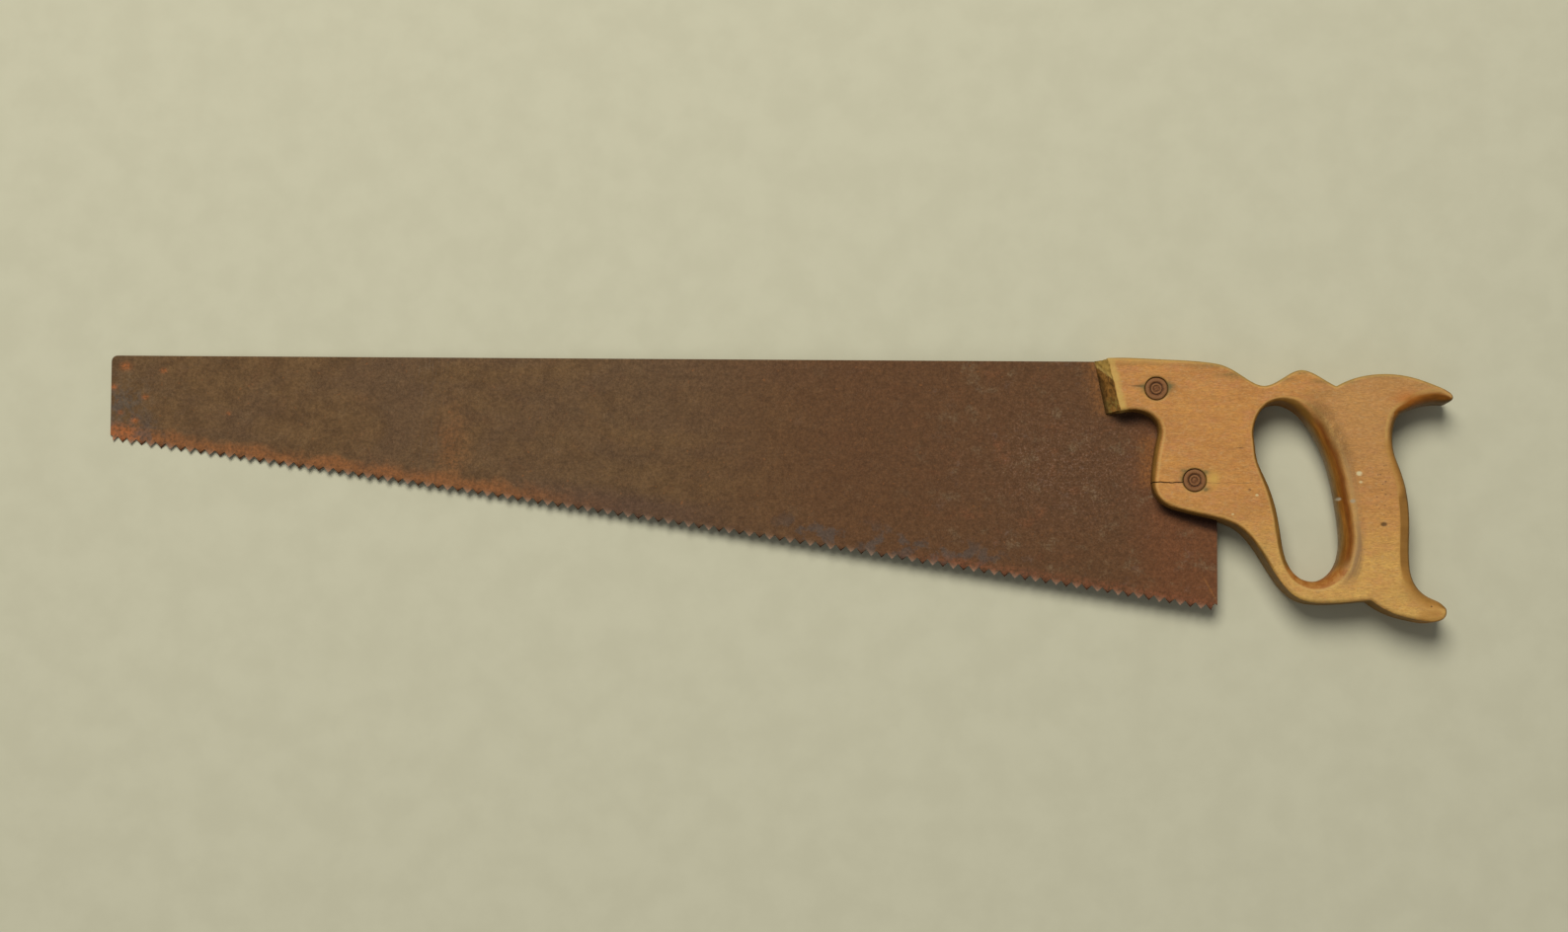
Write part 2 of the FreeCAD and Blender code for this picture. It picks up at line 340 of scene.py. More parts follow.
# ---------------------------------------------------------------- materials
def wood_material():
    n = Nodes("worn_beech")
    wall = n.mask("wall")
    nose = n.mask("nose")
    dirt = n.mask("dirt")
    facet = n.mask("facet")
    from_hole = n.times(n.mask("from_hole"), REACH)
    from_back = n.times(n.mask("from_back"), REACH)

    # clean wood: blotches, short dark rays, fine ticks and mottling
    figure = n.noise((0.03, 0.09, 0.1), detail=3, warp=0.5)
    blotch = n.noise((0.12, 0.22, 0.2), detail=4, rough=0.65, shift=(40, 7, 3))
    grain = n.noise((0.16, 1.1, 0.9), detail=3, rough=0.6, warp=0.6)
    rays = n.noise((0.50, 2.2, 1.6), detail=2, rough=0.5, shift=(3, 11, 5))
    pores = n.noise((1.0, 3.2, 3.0), detail=2, rough=0.6, shift=(17, 2, 9))
    mottle = n.noise((0.20, 0.48, 0.4), detail=4, rough=0.7, shift=(9, 31, 4))
    fine = n.noise((0.55, 1.7, 1.4), detail=4, rough=0.65, shift=(4, 13, 2))
    wood = n.mix(n.step(figure, 0.36, 0.64), (0.505, 0.226, 0.052), (0.430, 0.184, 0.044))
    wood = n.mix(n.step(blotch, 0.44, 0.68, 0.0, 0.7), wood, (0.480, 0.200, 0.066))
    low = n.times(n.step(n.y, -62.0, -108.0), n.step(blotch, 0.70, 0.34, 0.35, 0.75))
    wood = n.mix(low, wood, (0.620, 0.380, 0.096))
    wood = n.mix(n.step(mottle, 0.42, 0.72, 0.0, 0.42), wood, (0.500, 0.270, 0.080))
    horn_face = n.times(n.step(n.y, -100.0, -30.0), n.step(n.x, 588.0, 612.0), 0.6)
    wood = n.mix(horn_face, wood, (0.435, 0.228, 0.072))
    wood = n.brighten(wood, n.step(grain, 0.32, 0.68, 0.93, 1.06))
    wood = n.brighten(wood, n.step(fine, 0.32, 0.68, 0.85, 1.14))
    tufts = n.noise((0.45, 0.75, 0.6), detail=4, rough=0.75, warp=0.8, shift=(61, 5, 2))
    wood = n.mix(n.step(tufts, 0.52, 0.72, 0.0, 0.55), wood, (0.500, 0.310, 0.135))
    wood = n.mix(n.step(tufts, 0.46, 0.30, 0.0, 0.40), wood, (0.340, 0.140, 0.030))
    wood = n.mix(n.step(rays, 0.64, 0.74, 0.0, 0.60), wood, (0.225, 0.092, 0.024))
    wood = n.mix(n.step(pores, 0.64, 0.74, 0.0, 0.45), wood, (0.170, 0.085, 0.022))

    # pale along the arrises: partly wood worn pale, partly a painted sheen where the faces start to turn
    wood = n.mix(n.times(n.mask("arris"), 0.40), wood, (0.560, 0.350, 0.100))

    # walls painted darker and oilier: partly handled, oiled wood, partly painted shade on the sides turned
    # from the light
    streak = n.noise((0.30, 0.07, 0.25), detail=4, rough=0.62, shift=(5, 5, 50))
    oiled_and_shaded = n.mix(n.step(streak, 0.35, 0.68), (0.215, 0.105, 0.017), (0.145, 0.068, 0.009))
    wood = n.mix(n.times(wall, 0.9), wood, oiled_and_shaded)

    # round the hand hole: bands and streaks that follow its edge, with a dark band about 4 mm out that is
    # painted shade on the steep part of the rounding
    line = n.noise(1.0, detail=4, rough=0.6,
                   at=n.point(n.times(from_hole, 0.55), n.times(n.y, 0.035), 3.0))
    hair = n.noise(1.0, detail=4, rough=0.7,
                   at=n.point(n.times(from_hole, 2.2), n.times(n.y, 0.16), 9.0))
    wander = n.noise((0.06, 0.05, 0.05), detail=3, shift=(8, 1, 6))
    band = n.plus(from_hole, n.times(n.minus(wander, 0.5), 3.0))
    grip = n.mask("grip")
    tone = n.mix(n.step(line, 0.36, 0.62), (0.300, 0.118, 0.016), (0.200, 0.078, 0.011))
    tone = n.mix(n.times(n.step(band, 1.8, 0.5), 0.8), tone, (0.235, 0.140, 0.040))
    # painted shade: the dark band on the steep part of the hole's rounding
    tone = n.mix(n.times(n.hump(band, 3.9, 1.3), 0.85), tone, (0.155, 0.038, 0.002))
    tone = n.mix(n.times(n.hump(band, 6.0, 0.7), 0.6), tone, (0.400, 0.200, 0.050))
    tone = n.brighten(tone, n.step(hair, 0.32, 0.68, 0.80, 1.20))
    wood = n.mix(n.times(grip, n.step(band, 6.9, 5.6), 0.95), wood, tone)
    soot = n.noise((0.30, 0.18, 0.3), detail=4, rough=0.65, shift=(70, 1, 2))
    dust = n.noise((2.0, 1.7, 1.8), detail=3, rough=0.65, shift=(7, 12, 2))
    grime = n.times(n.step(band, 5.9, 7.2), n.step(band, 11.8, 9.4), n.mask("grime"))
    wood = n.mix(n.times(grime, n.step(line, 0.68, 0.34, 0.30, 0.85)), wood, (0.235, 0.130, 0.052))
    soft = n.mask("soot")
    wood = n.mix(n.times(soft, n.step(soot, 0.36, 0.60, 0.15, 0.65)), wood, (0.225, 0.112, 0.028))
    black = n.times(soft, n.step(dust, 0.44, 0.72))
    wood = n.mix(n.times(black, 0.50), wood, (0.105, 0.048, 0.012))

    # hole's ends: olive above, partly handled wood and partly painted shade on the top wall turned from the
    # light, darkest just under its edge; bright orange below, partly the wood's own and partly painted
    # light on the foot that faces the light
    lit_ember = n.mix(n.step(soot, 0.40, 0.60), (0.400, 0.170, 0.034), (0.310, 0.100, 0.014))
    wood = n.mix(n.times(n.mask("lit_hole_foot"), 0.88), wood, lit_ember)
    wood = n.mix(n.times(n.mask("shaded_hole_top"), 0.8), wood, (0.270, 0.118, 0.016))
    wood = n.mix(n.times(n.mask("shaded_hole_top"), n.hump(from_hole, 2.6, 1.4), 0.7), wood, (0.130, 0.068, 0.010))

    # back of the grip: a dull facet, browner towards its edge
    back = n.mix(n.step(hair, 0.35, 0.65), (0.420, 0.200, 0.042), (0.350, 0.160, 0.030))
    wood = n.mix(n.times(facet, 0.85), wood, back)
    rim = n.times(n.step(from_back, 1.3, 0.3), n.mask("back_side"))
    wood = n.mix(n.times(rim, 0.75), wood, (0.105, 0.066, 0.016))

    # underside of the upper horn: polished wood, painted darker and darkest by the back edge, partly as
    # painted shade since it faces away from the light
    under = n.mask("under")
    gloss = n.noise((0.10, 0.5, 0.3), detail=4, rough=0.6, shift=(33, 2, 1))
    horn = n.mix(n.step(gloss, 0.36, 0.62), (0.310, 0.105, 0.009), (0.180, 0.056, 0.004))
    horn = n.mix(n.step(from_back, 1.8, 0.4, 0.0, 0.75), horn, (0.090, 0.052, 0.008))
    wood = n.mix(n.times(under, 0.92), wood, horn)
    flush = n.spot(643.0, -18.5, 7.0, 3.4)
    wood = n.mix(n.times(flush, 0.7), wood, (0.440, 0.140, 0.020))

    # olive dirt in strokes, and iron stains each side of the rivets
    haze = n.noise(0.5, detail=4, rough=0.65, shift=(21, 4, 8))
    wood = n.mix(n.times(dirt, n.step(haze, 0.30, 0.66, 0.25, 0.85)), wood, (0.150, 0.112, 0.034))
    for which, dx, dy, rx, ry in (
        ("upper", -7.2, 1.2, 2.6, 0.9), ("upper", -6.0, 0.2, 1.6, 2.4),
        ("upper", 6.8, 1.0, 2.4, 1.9), ("upper", 5.6, 0.4, 1.6, 3.0),
        ("lower", -5.2, 4.6, 1.9, 1.2), ("lower", 5.6, 3.9, 2.0, 1.2),
        ("lower", 5.4, -4.5, 2.2, 1.3), ("lower", -6.0, 0.8, 1.5, 2.0),
    ):
        place = RIVETS[which]
        lobe = n.spot(place[0] + dx, place[1] + dy, rx, ry)
        lobe = n.times(lobe, n.step(haze, 0.32, 0.60, 0.45, 1.0))
        wood = n.mix(n.times(lobe, 0.85), wood, (0.125, 0.105, 0.034))
    for place in RIVETS.values():
        dx = n.minus(n.x, place[0])
        dy = n.minus(n.y, place[1])
        away = n.math("SQRT", n.plus(n.times(dx, dx), n.times(dy, dy)))
        ring = n.times(n.step(away, 6.9, 5.7), n.step(haze, 0.30, 0.60, 0.35, 0.9))
        wood = n.mix(n.times(ring, 0.6), wood, (0.190, 0.105, 0.032))
    glow = n.times(n.spot(548.5, -58.6, 3.0, 3.6), 0.7)
    wood = n.mix(glow, wood, (0.560, 0.345, 0.070))
    smear = n.times(n.spot(511.5, -13.3, 2.8, 0.4), 0.8)
    wood = n.mix(smear, wood, (0.110, 0.062, 0.020))

    # worn nose: yellow lumps above a pale ridge, dark below it, partly end grain and partly painted shade
    # on the lower bevel turned from the light
    lumps = n.noise((0.42, 0.34, 0.3), detail=4, rough=0.65, warp=0.6, shift=(6, 2, 2))
    bark = n.noise((0.55, 0.30, 0.5), detail=5, rough=0.7, warp=0.5, shift=(2, 5, 1))
    front = n.minus(n.x, n.plus(NOSE_X, n.times(n.minus(n.y, NOSE_TOP_Y), -0.2127)))
    ridge = n.plus(n.plus(n.times(front, 1.15), n.y), n.times(n.minus(lumps, 0.5), 3.0))
    raw = n.mix(n.step(bark, 0.38, 0.60), (0.100, 0.045, 0.007), (0.270, 0.120, 0.022))
    raw = n.mix(n.times(n.step(n.y, -17.0, -22.0), n.step(lumps, 0.4, 0.6)), raw, (0.250, 0.165, 0.036))
    # painted shade along the lower front edge of the nose
    shaded_leading_edge = n.times(n.step(front, 2.6, 0.8), n.step(n.y, -4.0, -10.0), 0.85)
    raw = n.mix(shaded_leading_edge, raw, (0.070, 0.034, 0.006))
    upper = n.mix(n.step(lumps, 0.56, 0.36), (0.440, 0.270, 0.060), (0.230, 0.135, 0.024))
    raw = n.mix(n.step(ridge, -3.2, -1.4), raw, upper)
    raw = n.mix(n.times(n.hump(ridge, -1.8, 0.8), 0.85), raw, (0.500, 0.330, 0.090))
    wood = n.mix(n.times(nose, 0.96), wood, raw)
    border = n.times(n.mask("border"), n.step(bark, 0.3, 0.55, 0.55, 0.9))
    wood = n.mix(border, wood, (0.520, 0.330, 0.080))
    brow = n.times(n.mask("brow"), n.step(haze, 0.34, 0.6, 0.45, 0.9))
    wood = n.mix(n.times(brow, 0.8), wood, (0.400, 0.245, 0.058))

    # scattered specks: white paint and black dots
    for x, y, r, tone in (
        (569.5, -66.5, 1.0, (0.60, 0.47, 0.22)), (557.8, -76.0, 0.8, (0.58, 0.44, 0.20)),
        (618.9, -55.5, 1.7, (0.66, 0.58, 0.32)), (619.6, -59.7, 1.0, (0.58, 0.45, 0.22)),
        (609.6, -67.7, 1.3, (0.42, 0.36, 0.24)), (615.7, -69.0, 1.5, (0.36, 0.28, 0.17)),
        (566.0, -64.0, 1.1, (0.16, 0.08, 0.03)), (630.5, -80.2, 1.9, (0.10, 0.05, 0.015)),
        (653.1, -119.7, 0.6, (0.06, 0.03, 0.01)),
    ):
        spot = n.spot(x, y, r, r * 0.75)
        spot = n.times(spot, n.step(mottle, 0.3, 0.5, 0.5, 1.0))
        wood = n.mix(n.step(spot, 0.25, 0.8, 0.0, 0.85), wood, tone)
    dash = n.spot(562.0, -43.5, 1.6, 0.28)
    wood = n.mix(n.times(dash, 0.85), wood, (0.10, 0.05, 0.02))
    specks = n.spot(629.5, -62.0, 4.5, 16.0)
    dots = n.cells((0.42, 0.62, 0.6), shift=(2, 9, 4))
    specks = n.times(specks, n.step(dots, 0.26, 0.14))
    wood = n.mix(n.times(specks, 0.8), wood, (0.13, 0.065, 0.025))

    # the crack: deep as far as the lower rivet, a hairline beyond it
    along = n.minus(n.x, CRACK_X)
    wave = n.times(n.math("SINE", n.times(along, 0.55)), 0.16)
    ripple = n.math("SINE", n.plus(n.times(along, 1.7), 1.0))
    seam = n.plus(n.plus(wave, n.times(ripple, 0.07)), CRACK_Y)
    off = n.math("ABSOLUTE", n.minus(n.y, seam))
    deep = n.times(n.step(off, 0.32, 0.12), n.step(n.x, 534.5, 533.0))
    thin = n.times(n.step(off, 0.22, 0.05), n.step(n.x, 571.0, 566.0))
    thin = n.times(thin, n.step(n.x, 545.0, 546.0), 0.5)
    crack = n.math("MAXIMUM", deep, thin)
    wood = n.mix(n.times(crack, 0.92), wood, (0.035, 0.018, 0.008))

    handled = n.math("MAXIMUM", n.times(grip, n.step(from_hole, 8.0, 5.0)), under)
    rough = n.plus(n.step(grain, 0.3, 0.7, 0.52, 0.66), n.times(handled, -0.18))
    rough = n.plus(n.plus(rough, n.times(nose, 0.2)), n.times(dirt, 0.1))
    height = n.plus(n.times(grain, 0.45), n.times(pores, -0.45))
    height = n.plus(height, n.times(rays, -0.35))
    height = n.plus(height, n.times(fine, 0.6))
    height = n.plus(height, n.times(bark, nose, 1.6))
    return n.finish(wood, rough, height, 0.09, specular=0.18)


def rust_material():
    n = Nodes("rusted_plate")
    # height above the tooth line, in mm
    share = n.math("DIVIDE", n.minus(n.x, FIRST_TOOTH_X), LAST_TOOTH_X - FIRST_TOOTH_X)
    fall = n.plus(n.times(share, TIP_HEEL_Y - TIP_TOE_Y), TIP_TOE_Y)
    bow = n.times(n.times(share, n.minus(1.0, share)), 4 * TOOTH_HOLLOW)
    above = n.minus(n.y, n.plus(fall, bow))

    cloud = n.noise((0.011, 0.022, 0.02), detail=3, warp=0.8)
    patch = n.noise(0.09, detail=4, rough=0.6, shift=(11, 3, 1))
    mottle = n.noise(0.6, detail=4, rough=0.65, shift=(1, 13, 7))
    grit = n.noise(0.95, detail=5, rough=0.75, shift=(6, 3, 2))
    flake = n.noise(0.28, detail=4, rough=0.7, shift=(16, 7, 2))
    speck = n.noise(2.6, detail=3, rough=0.7, shift=(2, 8, 5))
    lines = n.noise((0.03, 0.9, 1.0), detail=3, rough=0.6, shift=(4, 4, 4))

    rust = n.mix(n.step(patch, 0.35, 0.66), (0.142, 0.078, 0.031), (0.106, 0.057, 0.023))
    rust = n.mix(n.step(cloud, 0.45, 0.70, 0.0, 0.6), rust, (0.108, 0.062, 0.032))
    rust = n.mix(n.step(n.x, 255.0, 380.0, 0.0, 0.85), rust, (0.108, 0.048, 0.019))
    rust = n.mix(n.times(n.step(n.x, 500.0, 530.0), 0.8), rust, (0.150, 0.056, 0.021))

    # lighter grey-pink bloom under the handle's nose
    bloom = n.spot(480.0, -52.0, 42.0, 30.0)
    pale = n.times(bloom, n.step(grit, 0.50, 0.68, 0.0, 0.75), n.step(flake, 0.36, 0.60, 0.3, 1.0))
    rust = n.mix(pale, rust, (0.235, 0.145, 0.105))
    pits = n.times(bloom, n.step(grit, 0.46, 0.32, 0.0, 0.5))
    rust = n.mix(pits, rust, (0.070, 0.026, 0.014))

    # patches of hue: rust red, ochre and a little blue-grey
    warm = n.noise((0.075, 0.085, 0.08), detail=5, rough=0.7, shift=(50, 3, 1))
    cold = n.noise((0.10, 0.12, 0.1), detail=5, rough=0.7, shift=(5, 60, 1))
    rear = n.step(n.x, 380.0, 440.0, 0.25, 1.0)
    red = n.times(rear, n.step(warm, 0.54, 0.72, 0.0, 0.55), n.step(grit, 0.35, 0.6, 0.4, 1.0))
    rust = n.mix(red, rust, (0.190, 0.070, 0.027))
    ochre = n.times(rear, n.step(warm, 0.46, 0.32, 0.0, 0.6), n.step(grit, 0.40, 0.62, 0.2, 1.0))
    rust = n.mix(ochre, rust, (0.185, 0.130, 0.070))
    blue = n.times(rear, n.step(cold, 0.58, 0.70, 0.0, 0.3), n.step(grit, 0.38, 0.60, 0.2, 1.0))
    rust = n.mix(blue, rust, (0.155, 0.115, 0.095))

    # orange rust creeping up from the teeth over the front part
    creep = n.plus(above, n.times(n.minus(patch, 0.5), 16.0))
    band = n.times(n.step(creep, 11.0, 3.0), n.step(n.x, 275.0, 190.0))
    band = n.times(band, n.step(mottle, 0.30, 0.56, 0.55, 1.0))
    rust = n.mix(n.times(band, 0.78), rust, (0.250, 0.092, 0.028))
    corner = n.times(n.hump(n.x, 2.0, 13.0), n.step(above, 12.0, 6.0), n.step(mottle, 0.35, 0.55))
    rust = n.mix(n.times(corner, 0.7), rust, (0.380, 0.112, 0.030))
    drip = n.hump(n.plus(n.x, n.times(n.minus(patch, 0.5), 22.0)), 172.0, 6.0)
    drip = n.times(drip, n.step(n.y, -14.0, -42.0), n.step(mottle, 0.34, 0.58, 0.2, 1.0))
    rust = n.mix(n.times(drip, 0.5), rust, (0.215, 0.090, 0.030))

    # dark purple band and blue-grey patches nearer the handle
    bruise = n.times(n.hump(n.x, 262.0, 48.0), n.step(above, 16.0, 7.0))
    rust = n.mix(n.times(bruise, 0.55), rust, (0.082, 0.044, 0.030))
    slate = n.times(n.step(n.x, 325.0, 350.0), n.step(n.x, 470.0, 430.0))
    slate = n.plus(slate, n.times(n.step(n.x, 40.0, 20.0), 0.8))
    slate = n.times(slate, n.step(above, 20.0, 8.0), n.step(patch, 0.50, 0.60))
    rust = n.mix(n.times(slate, 0.6), rust, (0.085, 0.070, 0.058))

    # slate-grey toe with a few bright spots of fresh rust
    toe = n.times(n.step(n.x, 26.0, 6.0), n.hump(n.y, -25.0, 13.0), n.step(flake, 0.38, 0.60))
    rust = n.mix(n.times(toe, 0.65), rust, (0.080, 0.069, 0.055))
    for x, y, r in ((4.5, -5.5, 2.6), (24.0, -7.5, 1.6), (10.0, -33.0, 1.8), (15.0, -21.0, 1.5),
                    (-1.5, -16.0, 1.8), (2.5, -29.0, 1.3), (58.0, -29.0, 1.0)):
        spot = n.times(n.spot(x, y, r, r * 0.7), n.step(grit, 0.36, 0.58, 0.2, 1.0))
        rust = n.mix(n.times(spot, 0.8), rust, (0.400, 0.115, 0.028))

    # red rust in the gullets of the rear half
    gullet = n.times(n.step(above, 8.0, 2.5), n.step(n.x, 380.0, 430.0), n.step(mottle, 0.34, 0.60))
    rust = n.mix(n.times(gullet, 0.6), rust, (0.200, 0.066, 0.028))

    # rust that gathers where the plate enters the handle
    lip = n.hump(n.x, n.plus(491.0, n.times(n.y, -0.21)), 5.0)
    lip = n.times(lip, n.step(n.y, -30.0, -24.0))
    rust = n.mix(n.times(lip, n.step(mottle, 0.35, 0.6, 0.3, 0.8)), rust, (0.205, 0.085, 0.024))
    seat = n.times(n.hump(n.x, 517.5, 4.0), n.step(n.y, -34.0, -40.0), n.step(n.y, -66.0, -58.0))
    rust = n.mix(n.times(seat, n.step(mottle, 0.35, 0.6, 0.3, 0.8)), rust, (0.230, 0.090, 0.024))
    # painted contact shadow: near-black shade on the plate under the nose and under the cheek, where the
    # handle overhangs it
    painted_shadow = n.spot(509.0, -28.0, 8.5, 3.4)
    rust = n.mix(n.times(painted_shadow, 0.85), rust, (0.022, 0.010, 0.006))
    # painted shadow along the cheek's lower edge
    cheek = n.plus(n.times(n.minus(n.x, 524.5), -0.36), -72.7)
    below = n.minus(n.y, cheek)
    painted_shadow = n.times(n.step(below, -3.8, -0.3), n.step(n.x, 520.0, 527.0))
    rust = n.mix(n.times(painted_shadow, 0.85), rust, (0.030, 0.011, 0.006))
    scar = n.hump(n.plus(n.x, n.times(n.y, 0.55)), 486.4, 0.5)
    scar = n.times(scar, n.hump(n.y, -112.0, 5.0))
    rust = n.mix(n.times(scar, 0.6), rust, (0.330, 0.130, 0.035))

    # fine speckle, rolling lines, scratches and stray orange flecks
    rust = n.brighten(rust, n.step(mottle, 0.28, 0.74, 0.82, 1.20))
    rust = n.brighten(rust, n.step(lines, 0.30, 0.72, 0.97, 1.03))
    rust = n.brighten(rust, n.step(grit, 0.32, 0.68, 0.88, 1.12))
    rust = n.brighten(rust, n.step(flake, 0.34, 0.66, 0.90, 1.10))
    rust = n.mix(n.step(speck, 0.58, 0.72, 0.0, 0.5), rust, (0.235, 0.160, 0.105))
    rust = n.mix(n.step(speck, 0.42, 0.30, 0.0, 0.55), rust, (0.055, 0.030, 0.018))
    flecks = n.noise(0.45, detail=2, rough=0.5, shift=(90, 3, 3))
    flecks = n.step(flecks, 0.68, 0.76, 0.0, 0.6)
    rust = n.mix(flecks, rust, (0.225, 0.090, 0.030))
    hatch = n.noise((5.0, 0.10, 1.0), detail=2, rough=0.5, warp=0.2)
    hatch = n.times(n.step(hatch, 0.62, 0.70), n.hump(n.x, 160.0, 7.0))
    rust = n.mix(n.times(hatch, 0.35), rust, (0.240, 0.200, 0.160))
    # teeth set towards +z painted lighter and the others darker: partly filed metal and wear, partly
    # painted light and shade
    bright = n.mask("bright")
    rust = n.mix(n.times(bright, n.step(speck, 0.30, 0.60, 0.4, 1.0)), rust, (0.300, 0.190, 0.125))
    worn = n.mask("worn")
    rust = n.mix(n.times(worn, 0.8), rust, (0.062, 0.026, 0.014))

    rough = n.step(speck, 0.3, 0.7, 0.86, 0.66)
    height = n.plus(n.times(mottle, 0.9), n.times(speck, 0.5))
    height = n.plus(height, n.times(grit, 0.5))
    return n.finish(rust, rough, height, 0.08, specular=0.12)


def rivet_material():
    n = Nodes("rusted_rivet")
    mottle = n.noise(0.7, detail=4, rough=0.65)
    speck = n.noise(1.8, detail=4, rough=0.75, shift=(5, 1, 2))
    steel = n.mix(n.step(mottle, 0.35, 0.65), (0.215, 0.088, 0.030), (0.130, 0.050, 0.018))
    steel = n.mix(n.step(speck, 0.52, 0.66, 0.0, 0.7), steel, (0.350, 0.150, 0.052))
    steel = n.mix(n.step(speck, 0.42, 0.30, 0.0, 0.6), steel, (0.040, 0.018, 0.010))
    # raised rims painted lighter: partly rubbed metal, partly a painted highlight
    rim = n.mask("rim")
    steel = n.mix(n.times(rim, n.step(mottle, 0.3, 0.6, 0.3, 0.8)), steel, (0.240, 0.110, 0.040))
    # near-black in the grooves, in the washer's hollow and in the gap at its rim: partly rust in the
    # hollows, partly painted shade
    deep = n.mask("deep")
    steel = n.mix(n.times(deep, 0.8), steel, (0.035, 0.016, 0.008))
    rough = n.step(speck, 0.3, 0.7, 0.80, 0.60)
    height = n.plus(mottle, n.times(speck, 0.5))
    return n.finish(steel, rough, height, 0.10, specular=0.15)


def floor_material():
    n = Nodes("pale_floor")
    grain = n.noise(0.05, detail=3)
    tone = n.mix(n.step(grain, 0.3, 0.7), (0.540, 0.515, 0.365), (0.515, 0.490, 0.345))
    return n.finish(tone, 0.8, grain, 0.02, specular=0.2)


# ------------------------------------------------------------------- handle
def refine_along_crack(mesh):
    """Splits the faces beside the crack so that it can be a real groove."""
    bm = bmesh.new()
    bm.from_mesh(mesh)
    co = to_mm([v.co[:] for v in bm.verts])
    near = (co[:, 0] < 535.5) & (co[:, 0] > 517.5) & (co[:, 2] > 12.5)
    near &= np.abs(co[:, 1] - crack_line(co[:, 0])) < 0.9
    bm.verts.ensure_lookup_table()
    marked = set(np.nonzero(near)[0])
    edges = [e for e in bm.edges if all(v.index in marked for v in e.verts)]
    bmesh.ops.subdivide_edges(bm, edges=edges, cuts=3, use_grid_fill=True)
    bm.to_mesh(mesh)
    bm.free()


def nearest(points, co, wanted):
    """Distance in plan to the nearest of points, and which one it is."""
    tree = KDTree(len(points))
    for i, (x, y) in enumerate(points):
        tree.insert((x, y, 0.0), i)
    tree.balance()
    distance = np.full(len(co), REACH)
    which = np.zeros(len(co), int)
    for i in np.nonzero(wanted)[0]:
        _, index, reach = tree.find((co[i, 0], co[i, 1], 0.0))
        distance[i] = reach
        which[i] = index
    return distance, which


def wall_points(co, normal):
    """Plan of the handle's edges, taken from its walls beside the kerf, as
    points and outward directions: the hand hole's and the outer ones."""
    aside = np.abs(np.abs(co[:, 2] - HANDLE_T / 2) - 1.1) < 0.25
    aside &= np.abs(normal[:, 2]) < 0.4
    for spot in RIVETS.values():
        aside &= np.hypot(co[:, 0] - spot[0], co[:, 1] - spot[1]) > 4.0
    place = co[aside, :2]
    outward = normal[aside, :2]
    outward /= np.linalg.norm(outward, axis=1)[:, None]
    axis = HOLE_FOOT - HOLE_TOP
    share = np.clip((place - HOLE_TOP) @ axis / (axis @ axis), 0, 1)
    middle = HOLE_TOP + share[:, None] * axis
    facing = ((middle - place) * outward).sum(1) > 0
    inside = facing & (place[:, 0] < 613) & (place[:, 1] < -18) & (place[:, 1] > -111)
    return (place[inside], outward[inside]), (place[~inside], outward[~inside])


def edge_frame(co, edge, outward, wanted):
    """For each point: its depth behind the nearest stretch of edge, the
    outward direction and the place there, and whether it is abreast of it."""
    _, which = nearest(edge, co, wanted)
    q, out = edge[which], outward[which]
    offset = co[:, :2] - q
    depth = -(offset * out).sum(1)
    aside = np.abs(offset[:, 0] * out[:, 1] - offset[:, 1] * out[:, 0])
    return depth, out, q, wanted & (aside < 1.0)


def round_edge(co, edge, outward, radius_at):
    """Rounds both cheeks' arrises along the edge to radius_at(x), by
    taking wood away."""
    wanted = (co[:, 0] > 615) & (np.abs(co[:, 1] - edge[:, 1].mean()) < 45)
    depth, out, q, abreast = edge_frame(co, edge, outward, wanted)
    radius = radius_at(q[:, 0])
    side = co[:, 2] - HANDLE_T / 2
    along = depth - radius
    up = np.abs(side) - (HANDLE_T / 2 - radius)
    size = np.hypot(along, up)
    over = (along < 0) & (up > 0) & (size > radius) & abreast
    shrink = np.where(over, radius / np.maximum(size, 1e-6), 1.0) - 1
    result = co.copy()
    result[:, :2] -= out * (along * shrink)[:, None]
    result[:, 2] += np.sign(side) * up * shrink
    return result


def flatten_back(co, edge, outward):
    """Worn facet down the back of the grip: from an arris on the cheek it
    falls away to the back edge."""
    arris, fall = 5.3, math.radians(43)
    wanted = (co[:, 0] > 625) & (co[:, 1] < -55) & (co[:, 1] > -112)
    depth, out, _, abreast = edge_frame(co, edge, outward, wanted)
    side = co[:, 2] - HANDLE_T / 2
    above = (np.abs(side) - HANDLE_T / 2) * math.cos(fall) - (depth - arris) * math.sin(fall)
    level = smooth(-62, -70, co[:, 1]) * smooth(-107, -99, co[:, 1]) * abreast
    above = np.clip(above, 0, None) * level
    result = co.copy()
    result[:, :2] -= out * (above * math.sin(fall))[:, None]
    result[:, 2] -= np.sign(side) * above * math.cos(fall)
    return result


def under_radius(x):
    """Rounding under the upper horn: fullest half way along it."""
    return 5.0 + 2.6 * smooth(640, 650, x) - 3.0 * smooth(657, 664, x)


def top_radius(x):
    """Rounding on top of the lower horn, less near its tip."""
    return 6.0 + 1.6 * smooth(643, 650, x) - 3.4 * smooth(653, 660, x)


def shape_back(co, edge, outward):
    """Horns and grip, worn rounder than the plain handle."""
    (ex, ey), (ox, oy) = edge.T, outward.T

    def part(chosen):
        return edge[chosen], outward[chosen]

    low_side = ((oy < -0.1) & (ex < 655)) | ((oy < -0.7) & (ex < 663))
    high_side = ((oy > 0.15) & (ex < 652)) | ((oy > 0.6) & (ex < 659))
    under = part((ex > 634) & (ey > -50) & low_side)
    top = part((ex > 640) & (ey < -100) & high_side)
    back = part((ex > 630) & (ox > 0.1) & (ey < -30) & (ey > -120))
    co = round_edge(co, *under, under_radius)
    co = round_edge(co, *top, top_radius)
    return flatten_back(co, *back)


